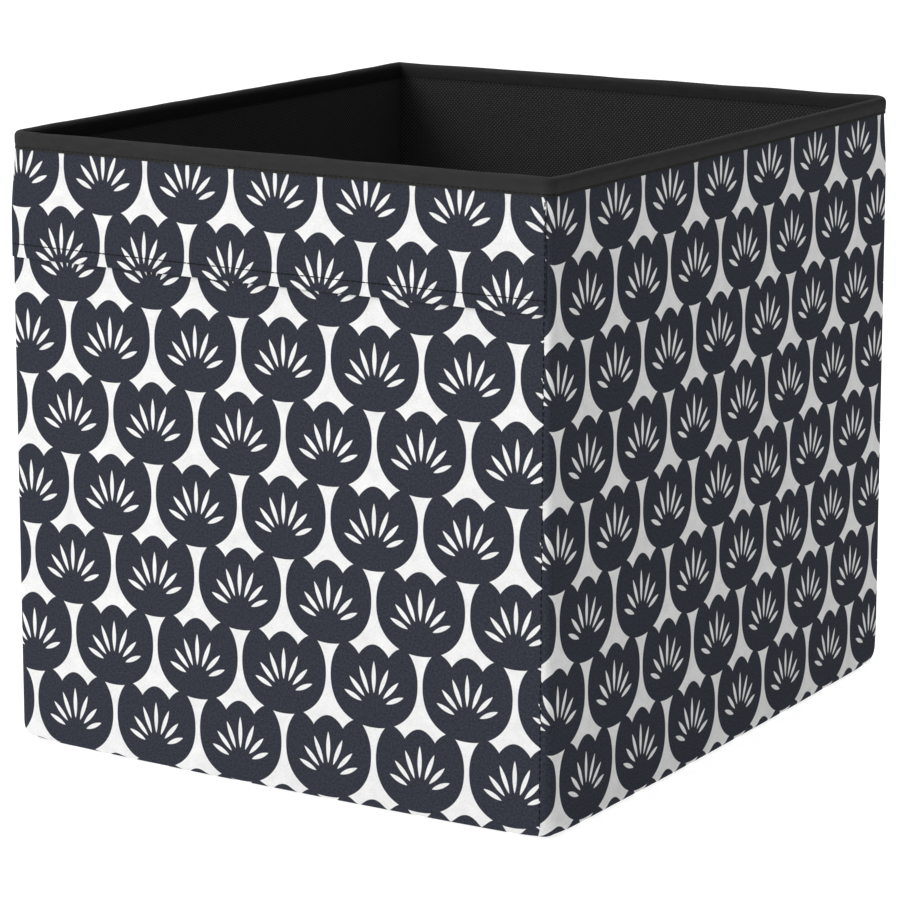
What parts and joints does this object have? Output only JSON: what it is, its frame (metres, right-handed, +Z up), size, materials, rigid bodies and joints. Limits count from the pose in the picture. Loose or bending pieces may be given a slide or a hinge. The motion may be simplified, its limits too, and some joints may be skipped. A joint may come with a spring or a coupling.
{
  "type": "fabric storage bin",
  "caption": "Open-topped square-cornered fabric storage bin with boarded walls, a bound rim, a front grip flap and a stiff base, which folds flat.",
  "frame": {"origin": "centre of the footprint, on the surface the bin stands on", "axes": "+Z up to the open top; -Y towards the front wall with the grip flap; +X to the right seen from the front"},
  "size_m": [0.33, 0.38, 0.33],
  "materials": {
    "printed_fabric": "matte woven, dark print on white",
    "lining": "matte point-bonded nonwoven",
    "binding": "matte ribbed tape",
    "board": "plain grey-brown board",
    "thread": "slight sheen",
    "tape": "matte hook-and-loop tape"
  },
  "bodies": {
    "front_wall": {"front_board": "board", "front_cover": "printed_fabric", "front_lining": "lining", "front_binding": "binding", "front_rim_stitching": "thread", "front_hem": "printed_fabric", "front_loop_tape": "tape", "corner_seam_stitching": "thread"},
    "right_wall": {"right_board": "board", "right_cover": "printed_fabric", "right_lining": "lining", "right_binding": "binding", "right_rim_stitching": "thread", "right_hem": "printed_fabric", "right_hinge_tape": "tape"},
    "back_wall": {"back_board": "board", "back_cover": "printed_fabric", "back_lining": "lining", "back_binding": "binding", "back_rim_stitching": "thread", "back_hem": "printed_fabric", "back_loop_tape": "tape"},
    "left_wall": {"left_board": "board", "left_cover": "printed_fabric", "left_lining": "lining", "left_binding": "binding", "left_rim_stitching": "thread", "left_hem": "printed_fabric", "left_loop_tape": "tape"},
    "grip_flap": {"grip_flap": "printed_fabric", "grip_flap_hem_stitching": "thread"},
    "base_panel": {"base_board": "board", "base_top_fabric": "lining", "base_bottom_fabric": "lining", "base_front_hook_tape": "tape", "base_back_hook_tape": "tape", "base_left_hook_tape": "tape"}
  },
  "joints": [
    {"name": "right_wall_fold", "type": "hinge", "parent": "front_wall", "child": "right_wall", "pos_m": [0.165, -0.19, 0], "axis": [0, 0, -1], "range_deg": [0, 88]},
    {"name": "left_wall_fold", "type": "hinge", "parent": "front_wall", "child": "left_wall", "pos_m": [-0.157, -0.182, 0], "axis": [0, 0, -1], "range_deg": [0, 88], "deforming": ["left_hem", "left_loop_tape"]},
    {"name": "back_wall_fold", "type": "hinge", "parent": "right_wall", "child": "back_wall", "pos_m": [0.157, 0.182, 0], "axis": [0, 0, -1], "range_deg": [-88, 0], "deforming": ["back_hem", "back_loop_tape"]},
    {"name": "grip_flap_lift", "type": "hinge", "parent": "front_wall", "child": "grip_flap", "pos_m": [0, -0.18835, 0.3195], "axis": [-1, 0, 0], "range_deg": [0, 35]},
    {"name": "base_panel_fold", "type": "hinge", "parent": "right_wall", "child": "base_panel", "pos_m": [0.1591, 0, 0.0044], "axis": [0, 1, 0], "range_deg": [0, 90]}
  ],
  "couplings": [
    {"joint": "left_wall_fold", "follows": "right_wall_fold", "ratio": 1},
    {"joint": "back_wall_fold", "follows": "right_wall_fold", "ratio": -1}
  ]
}
